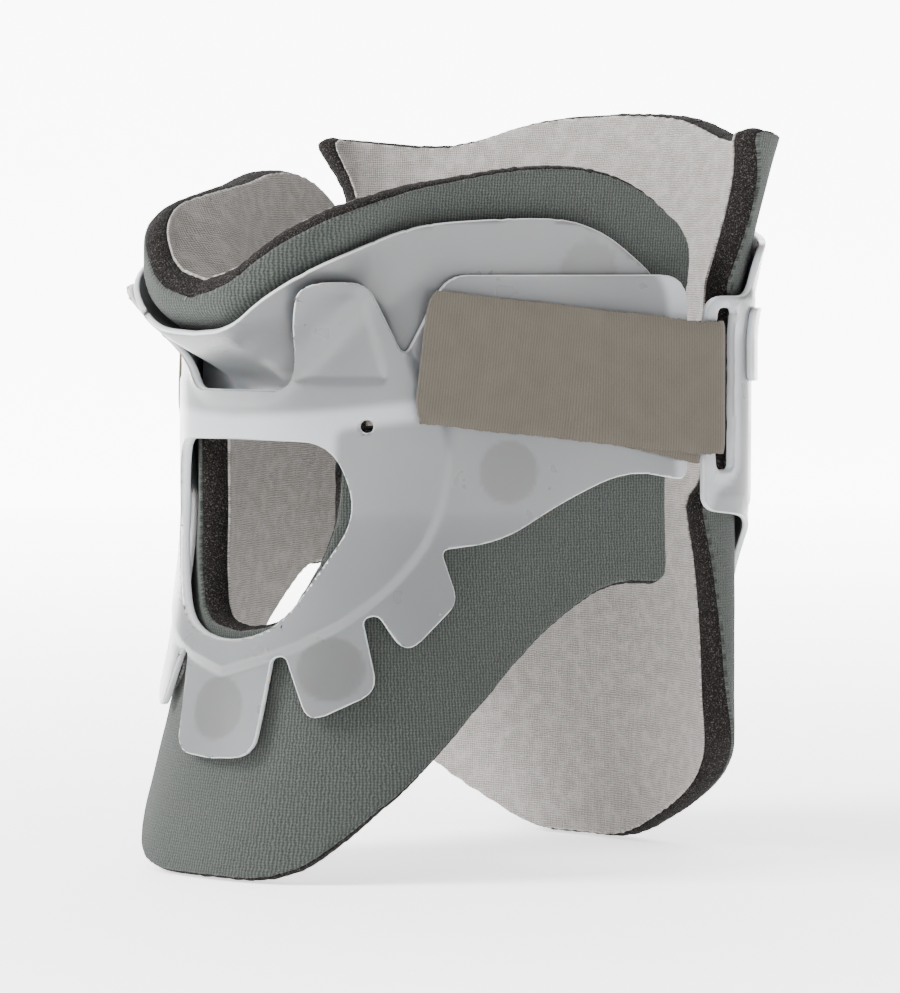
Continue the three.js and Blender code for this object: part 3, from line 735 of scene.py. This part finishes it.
# girth from the back centre, level, width, height and fillet radius
ANCHOR = (80, 148, 18, 21, 3)
LOOP_FRAME, SLOT_STEP = (93, 132, 25, 61, 6), (98.5, 135.5, 6, 46, 2)


def rectangle(s, z, width, height, radius):
    return [(s + a * width / 2, z + b * height / 2, radius)
            for a, b in ((-1, -1), (1, -1), (1, 1), (-1, 1))]


def back_shell_relief(points):
    from_back = points - (BACK_CENTRE, 0)
    lift = wear(points)
    for side in (1, -1):
        frame_outline = filleted(rectangle(side * LOOP_FRAME[0], *LOOP_FRAME[1:]))
        lift += plateau(from_back, frame_outline, 0.7)
        slot_outline = filleted(rectangle(side * SLOT_STEP[0], *SLOT_STEP[1:]))
        lift += 0.35 * smoothstep(-2.2, -1.2, signed_distance(from_back, slot_outline))
    return lift, 0


def build_back_shell():
    slot_outer = LOOP_BAR - LOOP_WIDTH / 2
    holes = [filleted(rectangle(side * (slot_outer + SLOT_INNER) / 2, (SLOT_LOW + SLOT_HIGH) / 2,
                                slot_outer - SLOT_INNER, SLOT_HIGH - SLOT_LOW, 2), BACK_CENTRE)
             for side in (1, -1)]
    outline = filleted(mirror_half(BACK_SHELL_HALF), BACK_CENTRE)
    pads = [filleted(mirror_half(BACK_PAD_HALF), BACK_CENTRE)]
    dots = [(BACK_CENTRE + side * BACK_DOT_ACROSS, z) for side in (1, -1) for _, z in BACK_DOT_LEVELS]
    mask = see_through(pads, dots)
    shell = layer_object("back_shell_moulding", fill_pattern(outline, holes), back_surface,
                         shell_rim(*BACK_SHELL_FACES), PLASTIC, back_shell_relief, mask=mask)
    place_piece(shell, BACK, "shell_plastic", "back_shell")
    for label, side in SIDES:
        outline = filleted(rectangle(-side * ANCHOR[0], *ANCHOR[1:]), BACK_CENTRE)
        plate = layer_object(f"strap_anchor_plate_{label}", fill_pattern(outline), back_surface,
                             shell_rim(*ANCHOR_FACES), PLASTIC)
        place_piece(plate, BACK, "shell_plastic", f"strap_anchor_{label}")


# ---------------------------------------------------------------- straps
STRAP_FRONT, STRAP_STEP, STRAP_RAISED, STRAP_FOLD = 55, 98, 108, 112
HOOK_TAPE_SPAN, LOOP_PATCH_SPAN = (58, 94), (60, 100)
EYE_RADIUS, HINGE_OFFSET = 3.75, 1
FOLD_RUN, FOLD_DROOP = 27, 2.8   # length of the folded end, and how far it hangs down at the bar
HINGE = BACK_CENTRE - LOOP_BAR
CENTRE_FRONT, CENTRE_BACK = 145.5, 136
STRAP_SLOPE = (CENTRE_FRONT - CENTRE_BACK) / (HINGE - 5 - STRAP_FRONT)


def strap_middle(girth):
    along = np.clip((girth - STRAP_FRONT) / (HINGE - 5 - STRAP_FRONT), 0, 1)
    return CENTRE_FRONT + (CENTRE_BACK - CENTRE_FRONT) * along


def strap_path():
    """The strap's middle line as (girth, offset), from its front end round the bar to its fold."""
    long_leg = HINGE_OFFSET + EYE_RADIUS
    corners = [(STRAP_FRONT + 0.4, 3.25), (STRAP_STEP, 3.25), (STRAP_RAISED, long_leg), (HINGE, long_leg)]
    turn = np.radians(np.arange(80, -190, -10))
    corners += [(HINGE + EYE_RADIUS * math.cos(a), HINGE_OFFSET + EYE_RADIUS * math.sin(a)) for a in turn]
    corners += [(HINGE - 4.6, 2.5), (HINGE - 7, 2.9), (STRAP_FOLD + 0.5, 2.95)]
    dense = []
    for (s0, d0), (s1, d1) in zip(corners, corners[1:]):
        count = max(1, round(math.hypot(s1 - s0, d1 - d0) / 0.8))
        dense += [(s0 + (s1 - s0) * t, d0 + (d1 - d0) * t) for t in np.arange(count) / count]
    path = np.array(dense + [corners[-1]])
    for _ in range(4):
        path[1:-1] = (path[:-2] + 2 * path[1:-1] + path[2:]) / 4
    return path


def build_strap(label, side):
    path = strap_path()
    run = np.concatenate([[0], np.cumsum(np.linalg.norm(np.diff(path, axis=0), axis=1))])
    along = np.gradient(path, run, axis=0)
    across = np.stack([-along[:, 1], along[:, 0]], axis=1)
    half = STRAP_WIDTH / 2
    widths = np.linspace(-half, half, 33)
    crown = STRAP_THICKNESS / 2 * (1 - 0.55 * np.abs(widths / half) ** 14)
    section = [(w, t) for w, t in zip(widths, crown)] + [(w, -t) for w, t in zip(widths[::-1], crown[::-1])]
    verts, uvs = [], []
    for w, t in section:
        fray = 0.22 * (np.sin(run * 3.7 + w) + np.sin(run * 1.3 + 2)) / 2 if abs(w) == half else 0 * run
        end_round = np.clip(1 - (run / 2.5), 0, 1) ** 2 * 2.2 * abs(w / half) ** 6
        square = w * STRAP_SLOPE * (1 - smoothstep(STRAP_STEP, STRAP_FOLD, path[:, 0]))
        s = path[:, 0] + across[:, 0] * t + end_round + square
        out = path[:, 1] + across[:, 1] * t
        remaining = run[-1] - run
        settled = 1 - smoothstep(FOLD_RUN, FOLD_RUN + 7, remaining)
        droop = FOLD_DROOP * np.clip(remaining / FOLD_RUN, 0, 1) * settled
        height = strap_middle(s) + (w + np.sign(w) * fray) * 0.985 + 0.12 * np.sin(run * 0.21) - droop
        verts.append(on_waist(side * s, out, height))
        uvs.append(np.stack([run, np.full(len(run), w)], axis=1))
    verts, uvs = np.array(verts), np.array(uvs) / 100
    rows, columns = len(section), len(path)
    faces = []
    for k in range(rows):
        nxt = (k + 1) % rows
        for j in range(columns - 1):
            quad = [k * columns + j, nxt * columns + j, nxt * columns + j + 1, k * columns + j + 1]
            faces.append(quad if side > 0 else quad[::-1])
    for k in range(rows // 2 - 1):
        mate = rows - 1 - k
        for j, flip in ((0, side > 0), (columns - 1, side < 0)):
            quad = [k * columns + j, mate * columns + j, (mate - 1) * columns + j, (k + 1) * columns + j]
            faces.append(quad if flip else quad[::-1])
    strap = new_object(f"strap_webbing_{label}", verts.reshape(-1, 3), faces, WEBBING,
                       uvs.reshape(-1, 2), 60)
    place_piece(strap, f"strap_{label}", "strap_webbing", f"strap_{label}")


def strap_slope_surface(s, z, d):
    """The waist surface, with z measured from the strap's middle line."""
    return on_waist(s, d, z + strap_middle(np.abs(s)))


def build_side_tape(name, side, span, tape_faces, width, material, body, slot, node):
    """A flat tape between the two girths of span that follows the strap's slope."""
    (start, end), (outer, inner) = span, tape_faces
    outline = filleted(rectangle(side * (start + end) / 2, 0, end - start, width, 2.5))
    rim = [(outer, -0.2), (outer - 0.15, 0), (inner, 0)]
    tape = layer_object(name, fill_pattern(outline), strap_slope_surface, rim, material, None, 0.12)
    place_piece(tape, body, slot, node)


def build_straps():
    for label, side in SIDES:
        build_side_tape(f"strap_hook_tape_{label}", side, HOOK_TAPE_SPAN, HOOK_TAPE_FACES, STRAP_WIDTH - 4,
                        HOOK, f"strap_{label}", "hook_fastener", f"strap_hook_{label}")
        build_side_tape(f"wing_loop_patch_{label}", side, LOOP_PATCH_SPAN, LOOP_PATCH_FACES,
                        STRAP_WIDTH - 2, COTTON, FRONT, "cotton_lining", f"wing_patch_{label}")
        build_strap(label, side)


# ---------------------------------------------------------------- floor, lights and world
def build_stage():
    """A white floor, and a lit white screen behind the object."""
    bpy.ops.mesh.primitive_plane_add(size=6, location=(0, 0, -0.0004))
    floor = bpy.context.object
    floor.name = "floor"
    # painted shade: the floor glows only 0.26 near the object, rising to 1 by 1.4 m
    floor.data.materials.append(lit_sheet("floor_paper", (0.16, 0.26), (1.4, 1)))
    bpy.ops.mesh.primitive_plane_add(size=1, location=(-1.5, 1.5, 0.9))
    screen = bpy.context.object
    screen.name = "backdrop"
    screen.scale = (3.2, 2.2, 1)
    screen.rotation_euler = (math.pi / 2, 0, math.pi / 4)
    screen.data.materials.append(lit_sheet("backdrop_paper", (0, 1), (1, 1)))


def add_light(name, place, target, size, power, colour=(1, 1, 1)):
    data = bpy.data.lights.new(name, "AREA")
    data.size, data.energy, data.color = size, power, colour
    lamp = bpy.data.objects.new(name, data)
    bpy.context.scene.collection.objects.link(lamp)
    lamp.location = place
    lamp.rotation_euler = (Vector(target) - Vector(place)).to_track_quat("-Z", "Y").to_euler()


def build_lights():
    middle = (0, 0, 0.1)
    add_light("key", (-0.85, -1.35, 1.15), middle, 0.8, 96)
    add_light("fill", (1.5, -0.9, 0.8), middle, 1.4, 2.5)
    add_light("top", (0.1, -0.2, 1.9), middle, 1.5, 27)
    world = bpy.data.worlds.new("studio")
    bpy.context.scene.world = world
    world.use_nodes = True
    world.node_tree.nodes["Background"].inputs["Color"].default_value = (1, 1, 1, 1)
    world.node_tree.nodes["Background"].inputs["Strength"].default_value = 0.85


build_front_shell()
build_chin_support()
build_rivets()
build_pads()
build_dots()
build_back_shell()
build_straps()
build_stage()
build_lights()
